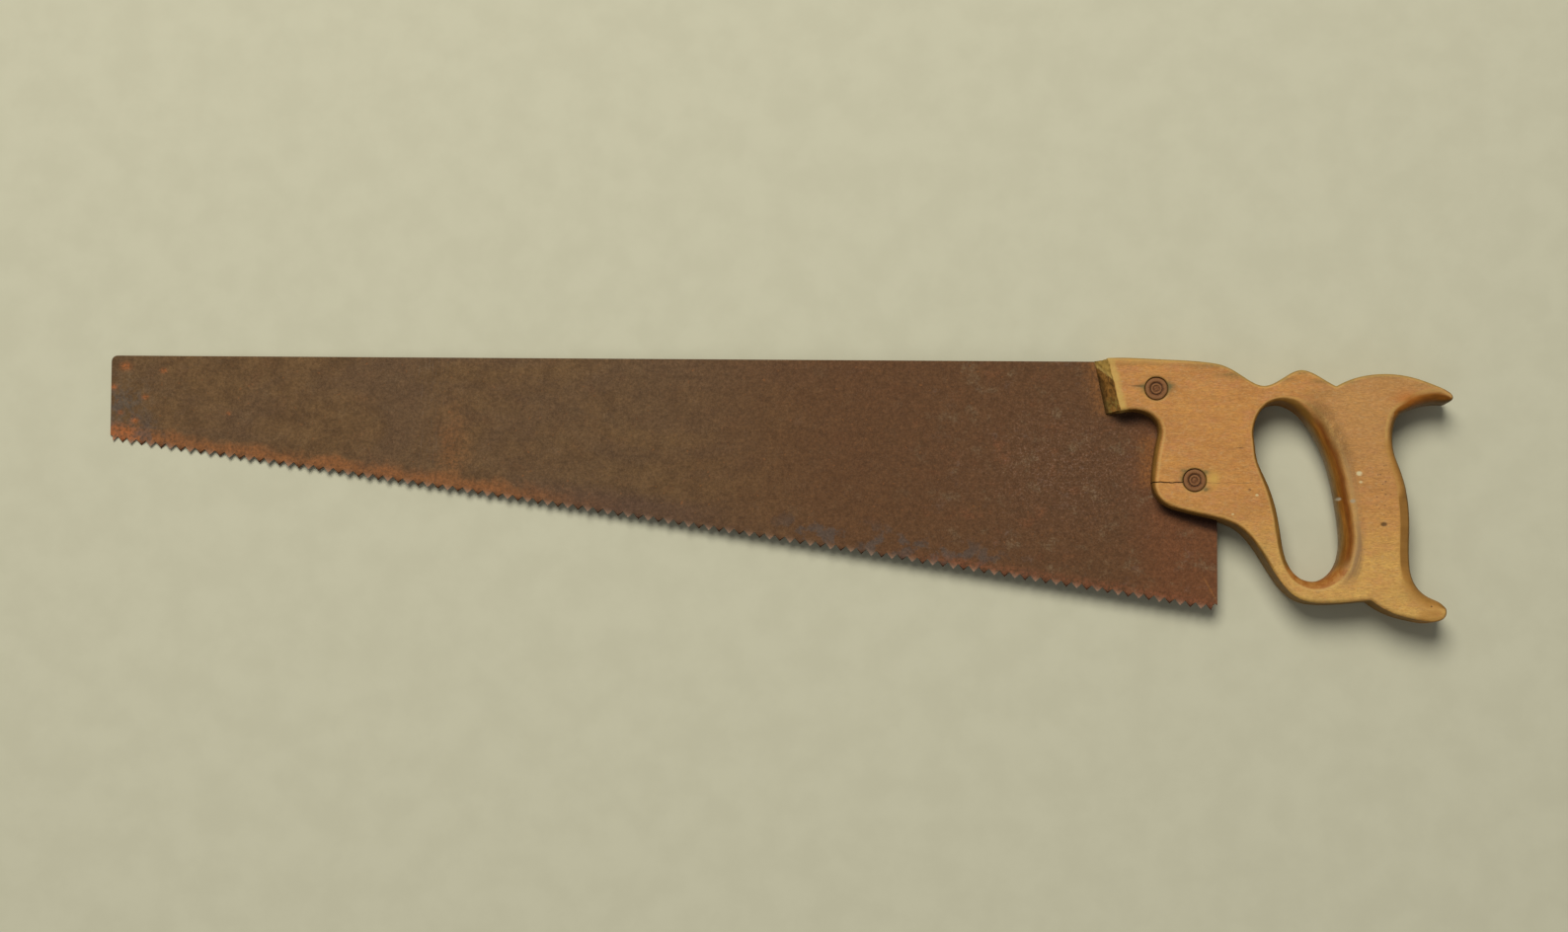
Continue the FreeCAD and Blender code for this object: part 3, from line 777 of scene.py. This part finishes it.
def blunt_tips(piece):
    """Smooths the ends of both horns until they are blunt."""
    mesh = piece.data
    x, y, _ = to_mm(vertex_array(mesh)).T
    upper = smooth(9.0, 3.5, np.hypot(x - 666.0, y + 17.5))
    lower = smooth(10.0, 4.0, np.hypot(x - 661.5, y + 122.5))
    group = piece.vertex_groups.new(name="tips")
    weight = np.maximum(upper, lower)
    for i in np.nonzero(weight > 0)[0]:
        group.add([int(i)], float(weight[i]), "REPLACE")
    blunt = piece.modifiers.new("blunt", "SMOOTH")
    blunt.vertex_group = "tips"
    blunt.factor = 0.5
    blunt.iterations = 40
    return applied(piece)


def make_handle():
    """The CAD handle at finer grain: worn edges, rough nose, dents, crack."""
    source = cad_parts["handle"]
    mesh = source.data.copy()
    mesh.transform(source.matrix_world)
    mend(mesh, weld=1e-6, face_out=False)
    piece = new_piece("wooden_handle", mesh, wood_material())
    remesh = piece.modifiers.new("even", "REMESH")
    remesh.mode = "VOXEL"
    remesh.voxel_size = GRAIN
    soften = piece.modifiers.new("soften", "SMOOTH")
    soften.factor = 0.5
    soften.iterations = 3
    mesh = applied(piece)
    refine_along_crack(mesh)

    co = to_mm(vertex_array(mesh))
    hole_edge, outer_edge = wall_points(co, vertex_normals(mesh))
    co = shape_back(co, *outer_edge)
    set_vertices(mesh, to_row(co))
    mesh = blunt_tips(piece)
    co = to_mm(vertex_array(mesh))
    normal = vertex_normals(mesh)
    x, y, z = co.T
    upright = np.abs(normal[:, 2])
    around = (x > 550) & (x < 632) & (y > -126) & (y < -2)
    from_hole, _ = nearest(hole_edge[0], co, around)
    back = outer_edge[0][(outer_edge[0][:, 0] > 630) & (outer_edge[1][:, 0] > 0.0)]
    from_back, _ = nearest(back, co, x > 620)

    # which side of the hand hole a point is on
    middle_x = HOLE_TOP[0] + (HOLE_TOP[1] - y) * 0.28
    right = smooth(2.0, 9.0, x - middle_x)
    grip = right * smooth(-24, -33, y) * smooth(-105, -96, y)
    # painted shade on the hole's top wall, painted light on its foot
    shaded_hole_top = smooth(-38.0, -26.0, y) * smooth(0.90, 0.6, upright) * smooth(8.0, 6.0, from_hole)
    shaded_hole_top = shaded_hole_top * (1 - grip)
    lit_hole_foot = smooth(-99.0, -104.0, y) * smooth(7.0, 4.5, from_hole) * smooth(0.985, 0.94, upright)
    grime = right * (0.55 + 0.45 * smooth(-70, -92, y)) * smooth(-36, -50, y) * smooth(-113, -103, y)
    soot = right * smooth(-16, -24, y) * smooth(-60, -40, y)
    soot = soot * smooth(3.0, 6.0, from_hole) * smooth(15.0, 9.0, from_hole)
    corner = np.exp(-(((x - 611) / 4.0) ** 2 + ((y + 103) / 5.0) ** 2))
    soot = np.maximum(soot, corner)
    # wall: where the surface turns sideways; its darker paint is partly oiled wood and partly painted
    # shade, with less of it along the bottom edge
    lower_edge = smooth(-0.1, -0.4, normal[:, 1]) * smooth(-95, -108, y)
    wall = smooth(0.985, 0.70, upright) * (1 - lower_edge) + smooth(0.50, 0.15, upright) * lower_edge
    # arris: the start of each rounding, painted pale as wear and as a painted sheen
    arris = smooth(0.9995, 0.992, upright) * smooth(0.90, 0.97, upright)
    wall = np.maximum(wall, smooth(4.0, 2.5, from_hole) * smooth(0.995, 0.9, upright))

    facet = smooth(6.6, 4.4, from_back) * smooth(-60, -68, y) * smooth(-113, -106, y)
    facet = np.maximum(facet, 0.8 * smooth(6.5, 3.0, from_back) * smooth(-36, -42, y) * (y > -70))
    lower_horn = smooth(9.5, 4.5, from_back) * smooth(-104, -110, y) * smooth(661, 655, x)
    facet = np.maximum(facet, 0.75 * lower_horn)
    back_side = (x > 630) * smooth(-24, -30, y) * smooth(-117, -110, y)
    under = (x > 636) * smooth(-34, -25, y) * smooth(0.97, 0.86, upright) * (normal[:, 1] < 0.1)
    brow = smooth(0.995, 0.9, upright) * (normal[:, 1] > 0.1) * (y > -14)
    brow = np.maximum(brow, 0.7 * smooth(2.6, 0.8, np.abs(y + 0.4)) * (x < 556))

    # nose: everything in front of the bevel line on both cheeks
    bevel = BEVEL_X + (NOSE_TOP_Y - y) * 6.5 / (NOSE_TOP_Y - NOSE_FOOT_Y)
    ragged = (noise(co, (2.5, 2.5, 2.5), 9) - 0.5) * 2.0
    low_nose = (y > -28.5) & (x < 508)
    nose = low_nose * smooth(0.4, -0.6, x - bevel - ragged)
    border = low_nose * smooth(-0.3, 0.6, x - bevel - ragged)
    border = border * smooth(5.0, 1.5, x - bevel - ragged)

    # strokes of dirt: x, y, half length, half height, strength
    dirt = np.zeros(len(co))
    for sx, sy, rx, ry, strength in (
        (560, -7.5, 9, 1.6, 0.9), (548, -3.0, 16, 1.2, 0.7), (515, -2.6, 22, 0.7, 0.5),
        (583, -9.5, 5, 1.4, 0.8), (591, -6.0, 4, 1.5, 0.7), (602, -10.5, 6, 1.2, 0.6),
        (613, -10.6, 5, 1.3, 0.9), (628, -8.0, 14, 1.0, 0.5), (652, -12.0, 9, 1.0, 0.4),
        (600, -16.5, 9, 1.8, 0.35),
        (642, -115, 6, 2.5, 0.3), (600, -118, 24, 0.9, 0.5), (573, -95, 2.5, 9, 0.3),
    ):
        d = ((x - sx) / rx) ** 2 + ((y - sy) / ry) ** 2
        dirt = np.maximum(dirt, strength * np.exp(-d))

    for name, values in (
        ("wall", wall), ("arris", arris), ("grip", grip), ("grime", grime), ("soot", soot),
        ("shaded_hole_top", shaded_hole_top), ("lit_hole_foot", lit_hole_foot), ("facet", facet),
        ("back_side", back_side), ("under", under), ("brow", brow), ("nose", nose),
        ("border", border), ("dirt", dirt), ("from_hole", from_hole / REACH),
        ("from_back", from_back / REACH),
    ):
        paint(mesh, name, values)

    # all shaping goes inwards, so the handle keeps its size
    cut = 0.10 * noise(co, (14, 9, 9), 1) + 0.05 * noise(co, (4, 1.2, 2), 2)
    cut += nose * (0.75 * noise(co, (3.0, 2.2, 2.4), 3) + 0.25 * noise(co, (0.9, 0.8, 0.8), 4))
    edge = smooth(0.995, 0.95, upright) * smooth(0.55, 0.85, upright)
    cut += edge * 0.25 * smooth(0.45, 0.8, noise(co, (6, 6, 4), 6))
    for dx, dy, rx, ry, depth in (
        (630, -80.5, 1.6, 0.6, 0.35), (562, -43.5, 1.5, 0.35, 0.3),
        (653.1, -119.7, 0.5, 0.7, 0.4), (618.9, -55.5, 0.9, 0.8, 0.2),
        (588.8, -44.0, 5, 0.5, 0.1), (626, -66, 0.6, 0.5, 0.25), (631, -58, 0.5, 0.5, 0.25),
        (628, -71, 0.6, 0.4, 0.25), (610, -67.7, 1.2, 0.8, 0.3), (556, -30, 3.5, 0.4, 0.12),
    ):
        near = ((x - dx) / rx) ** 2 + ((y - dy) / ry) ** 2
        cut += (z > 12) * depth * np.exp(-near)
    off = np.abs(y - crack_line(x))
    groove = smooth(0.30, 0.08, off) * (x < 534.2) * (z > 12.3) * smooth(0, 0.5, x - 517)
    cut += groove * (1.0 - 0.55 * smooth(522, 534, x))
    slot = np.abs(z - HANDLE_T / 2) < 0.9
    cut = np.where(slot & (x < 553), 0.0, cut)
    co = co - normal * cut[:, None]
    set_vertices(mesh, to_row(co))
    shade_smooth(mesh)
    return piece


# -------------------------------------------------------------------- blade
def make_blade():
    """Plate as two sheets of columns, four columns to a tooth, each tooth
    bent to alternate sides and filed to a bevel on its inner face."""
    pitch = (LAST_TOOTH_X - FIRST_TOOTH_X) / (TEETH - 1)
    quarter = pitch / 4
    columns = []
    for k in range(TEETH):
        tip = FIRST_TOOTH_X + k * pitch
        for part, reach in ((0, 1.0), (1, 0.5), (2, 0.0), (3, 0.5)):
            side = k if part < 2 or k == TEETH - 1 else k + (part > 2)
            if k == TEETH - 1 and part:
                continue
            columns.append((tip + part * quarter, reach, side % 2))
    start = [(TOE_X + d, 0.0, 0) for d in (0.0, 0.12, 0.35, 0.7, 1.1)]
    end = [(LAST_TOOTH_X + d, r, 1) for d, r in ((1.0, 0.45), (2.0, 0.15), (2.6, 0.3), (3.0, 0.4))]
    columns = start + [c for c in columns if c[0] > TOE_X + 1.2] + end

    rows = 44
    wear = np.random.default_rng(7).uniform(-0.22, 0.12, TEETH + 4)
    sheets = {1: [], -1: []}
    bright, worn = [], []
    for x, reach, odd in columns:
        back = 0.0
        if x < TOE_X + TOE_R:
            back = -(TOE_R - math.sqrt(max(TOE_R ** 2 - (TOE_X + TOE_R - x) ** 2, 0)))
        if x > HEEL_X - HIDDEN_R:
            back = -(HIDDEN_R - math.sqrt(max(HIDDEN_R ** 2 - (x - HEEL_X + HIDDEN_R) ** 2, 0)))
        tip_y = tip_line(x)
        if x > LAST_TOOTH_X:
            tip_y = tip_line(LAST_TOOTH_X) + 1.0
        root_y = tip_y + TOOTH_DEPTH + 1.2
        k = int(round((x - FIRST_TOOTH_X) / pitch))
        length = TOOTH_DEPTH * reach + wear[k % len(wear)] * (reach > 0.9)
        edge_y = tip_y + TOOTH_DEPTH - length
        bend = 1 if odd == 0 else -1
        for side in (1, -1):
            column = []
            inner = side != bend
            own_edge = edge_y + (0.75 * reach if inner else 0.0)
            for j in range(rows + 1):
                column.append((back + (root_y - back) * j / rows, 0.0))
            for t in (0.35, 0.7, 1.0):
                column.append((root_y + (own_edge - root_y) * t, t * t))
            for y, t in column:
                z = HANDLE_T / 2 + side * BLADE_T / 2 + bend * TOOTH_SET * t * reach
                lean = (TOE_FOOT_X - TOE_X) * smooth(0, 1, 1 - (x - TOE_X) / 12) * min(-y / 43, 1)
                sheets[side].append((x + float(lean), y, z))
                # painted light and shade on the teeth: those set towards +z lighter, the others darker,
                # partly filed metal and wear
                if side == 1:
                    bright.append(t * reach * (odd == 0))
                    worn.append(t * reach * (odd == 1) * 0.8)
    points = sheets[1] + sheets[-1]
    per = rows + 4
    count = len(columns)
    total = per * count
    faces = []

    def at(side, i, j):
        return (0 if side == 1 else total) + i * per + j

    for i in range(count - 1):
        for j in range(per - 1):
            faces.append((at(1, i, j), at(1, i, j + 1), at(1, i + 1, j + 1), at(1, i + 1, j)))
            faces.append((at(-1, i, j), at(-1, i + 1, j), at(-1, i + 1, j + 1), at(-1, i, j + 1)))
        faces.append((at(1, i, 0), at(1, i + 1, 0), at(-1, i + 1, 0), at(-1, i, 0)))
        j = per - 1
        faces.append((at(1, i, j), at(-1, i, j), at(-1, i + 1, j), at(1, i + 1, j)))
    for j in range(per - 1):
        faces.append((at(1, 0, j), at(-1, 0, j), at(-1, 0, j + 1), at(1, 0, j + 1)))
        i = count - 1
        faces.append((at(1, i, j), at(1, i, j + 1), at(-1, i, j + 1), at(-1, i, j)))
    mesh = mesh_from("saw_plate", points, faces)
    paint(mesh, "bright", np.array(bright + bright))
    paint(mesh, "worn", np.array(worn + worn))
    piece = new_piece("saw_plate", mesh, rust_material())
    shade_smooth(mesh, 20)
    return piece


# ------------------------------------------------------------------- rivets
def lathe(name, profile, centre, seed, masks):
    """Turned steel piece with slightly uneven, hammered surfaces."""
    turns = 72
    points, faces = [], []
    for k in range(turns):
        a = 2 * math.pi * k / turns
        for r, z in profile:
            points.append((centre[0] + r * math.cos(a), centre[1] + r * math.sin(a), z))
    per = len(profile)
    for k in range(turns):
        m = (k + 1) % turns
        for j in range(per):
            i = (j + 1) % per
            faces.append((k * per + j, m * per + j, m * per + i, k * per + i))
    mesh = mesh_from(name, points, faces, weld=1e-7)
    co = to_mm(vertex_array(mesh))
    r = np.hypot(co[:, 0] - centre[0], co[:, 1] - centre[1])
    outer = (np.abs(co[:, 2] - HANDLE_T / 2) > 8.4) & (r > 0.1)
    cut = 0.16 * noise(co, 1.8, seed) + 0.09 * noise(co, 0.7, seed + 1)
    normal = vertex_normals(mesh)
    co = co - normal * (cut * outer)[:, None]
    set_vertices(mesh, to_row(co))
    for mask, value in masks(r, co[:, 2]).items():
        paint(mesh, mask, value)
    piece = new_piece(name, mesh, STEEL)
    shade_smooth(mesh, 50)
    return piece


def curve_points(points, count=8):
    """Rounds a coarse (radius, z) profile by a Catmull-Rom curve."""
    pts = [np.array(p, float) for p in points]
    result = []
    for i in range(len(pts) - 1):
        p0 = pts[max(i - 1, 0)]
        p1, p2 = pts[i], pts[i + 1]
        p3 = pts[min(i + 2, len(pts) - 1)]
        for s in range(count):
            t = s / count
            a = 2 * p1 + (p2 - p0) * t
            b = (2 * p0 - 5 * p1 + 4 * p2 - p3) * t * t
            c = (3 * p1 - p0 - 3 * p2 + p3) * t ** 3
            result.append(tuple((a + b + c) / 2))
    result.append(tuple(pts[-1]))
    return [(max(r, 0.0), z) for r, z in result]


def make_rivet(name, centre, seed):
    top = HANDLE_T - 0.3
    far = curve_points([(0, 0.32), (1.8, 0.36), (3.4, 0.52), (4.7, 0.85), (5.3, 1.25)])
    peened = curve_points([(2.38, top - 0.85), (2.72, top - 0.6), (2.66, top - 0.24),
                           (2.2, top - 0.08), (1.75, top - 0.14), (1.45, top - 0.36),
                           (1.15, top - 0.42), (0.8, top - 0.26), (0.0, top - 0.22)], 5)
    profile = far + [(5.35, 1.85), (5.3, 1.9), (2.4, 1.9)] + peened

    def masks(r, z):
        # rim: raised rims painted lighter, partly a painted highlight; deep: the groove painted near-black,
        # partly rust and partly painted shade
        return {
            "rim": (z > top - 0.5) * smooth(1.7, 2.3, r) + (z < 1.2) * smooth(2.5, 4.5, r) * 0.4,
            "deep": (z > top - 0.55) * np.exp(-((r - 1.35) / 0.22) ** 2) * 0.7,
        }

    return lathe(name, profile, centre, seed, masks)


def make_washer(name, centre, seed):
    top = HANDLE_T - 0.3
    seat = HANDLE_T - 1.9
    dish = curve_points([(5.50, top - 0.72), (5.38, top - 0.36), (4.90, top - 0.1),
                         (4.25, top - 0.02), (3.65, top - 0.12), (3.25, top - 0.4),
                         (2.98, top - 0.62), (2.52, top - 0.72)], 6)
    profile = [(2.52, seat), (5.44, seat), (5.50, seat + 0.08)] + dish

    def masks(r, z):
        # rim: the dome painted lighter, partly a painted highlight; deep: the hollow and the gap at the rim
        # painted near-black, partly rust and partly painted shade
        return {
            "rim": (z > top - 0.5) * smooth(3.5, 4.3, r),
            "deep": 0.9 * smooth(3.35, 2.95, r) + 0.15 * smooth(5.3, 5.48, r),
        }

    return lathe(name, profile, centre, seed, masks)


# ------------------------------------------------- put the saw together
STEEL = rivet_material()

handle = make_handle()
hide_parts("handle")
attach(handle, "root")

blade = make_blade()
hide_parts("blade")
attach(blade, "root")

for number, (which, spot) in enumerate(RIVETS.items()):
    low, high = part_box(which + "_rivet")
    middle = (low + high) / 2
    centre = tuple(to_mm([middle[:]])[0][:2])
    rivet = make_rivet(which + "_rivet_body", centre, 30 + number)
    washer = make_washer(which + "_rivet_burr", centre, 40 + number)
    for piece, node in ((rivet, which + "_rivet"), (washer, which + "_rivet_washer")):
        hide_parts(node)
        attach(piece, "root")

# ---------------------------------------------------- floor, light, camera
# The saw rests on its toe and on the front of its handle's cheek, so the
# floor is tipped by the height of the toe over the length between them.
REST_X = 500.0
toe_height = HANDLE_T / 2 - BLADE_T / 2 - TOOTH_SET
slope = math.atan2(toe_height, REST_X - TOE_X)
bpy.ops.mesh.primitive_grid_add(x_subdivisions=2, y_subdivisions=2, size=8.0)
floor = bpy.context.object
floor.name = "floor"
touch = Vector(to_row([(REST_X, 0.0, -0.05)])[0])
floor.location = touch
floor.rotation_euler = (0, slope, 0)
floor.data.materials.append(floor_material())


def area_light(name, place, target, size, watts, colour):
    data = bpy.data.lights.new(name, "AREA")
    data.shape = "DISK"
    data.size = size
    data.energy = watts
    data.color = colour
    lamp = bpy.data.objects.new(name, data)
    bpy.context.scene.collection.objects.link(lamp)
    lamp.location = place
    lamp.rotation_euler = (Vector(target) - Vector(place)).to_track_quat("-Z", "Y").to_euler()


area_light("key", place=(-0.25, 1.25, 2.3), target=(0.05, 0, 0), size=1.5, watts=66,
           colour=(1.0, 0.99, 0.96))
area_light("fill", place=(-0.6, -1.2, 2.2), target=(0, 0, 0), size=2.4, watts=6.0,
           colour=(0.96, 0.98, 1.0))
world = bpy.data.worlds.new("studio")
bpy.context.scene.world = world
world.use_nodes = True
sky = world.node_tree.nodes["Background"]
sky.inputs["Color"].default_value = (0.95, 0.97, 1.0, 1)
sky.inputs["Strength"].default_value = 0.145

# camera nearly overhead, a little towards the teeth and the handle
YAW, PITCH, ROLL = 2.911, 5.6, 0.776
DISTANCE = 1200.0
AIM = (338.2, -53.2, HANDLE_T / 2)
FOCAL_LENGTH = 55.46
SENSOR_WIDTH = 36.0
yaw, pitch, roll = (math.radians(v) for v in (YAW, PITCH, ROLL))
back = Vector((math.sin(yaw), -math.sin(pitch) * math.cos(yaw), math.cos(pitch) * math.cos(yaw)))
back.normalize()
right = Vector((0, 1, 0)).cross(back).normalized()
up = back.cross(right)
right, up = (right * math.cos(roll) + up * math.sin(roll),
             up * math.cos(roll) - right * math.sin(roll))
lens = bpy.data.cameras.new("camera")
lens.sensor_width = SENSOR_WIDTH
lens.lens = FOCAL_LENGTH
lens.clip_start = 0.05
lens.clip_end = 30.0
camera = bpy.data.objects.new("camera", lens)
bpy.context.scene.collection.objects.link(camera)
pose = Matrix((right, up, back)).transposed().to_4x4()
pose.translation = Vector(to_row([AIM])[0]) + back * (DISTANCE / 1000)
camera.matrix_world = pose
bpy.context.scene.camera = camera
bpy.context.scene.view_settings.view_transform = "Standard"
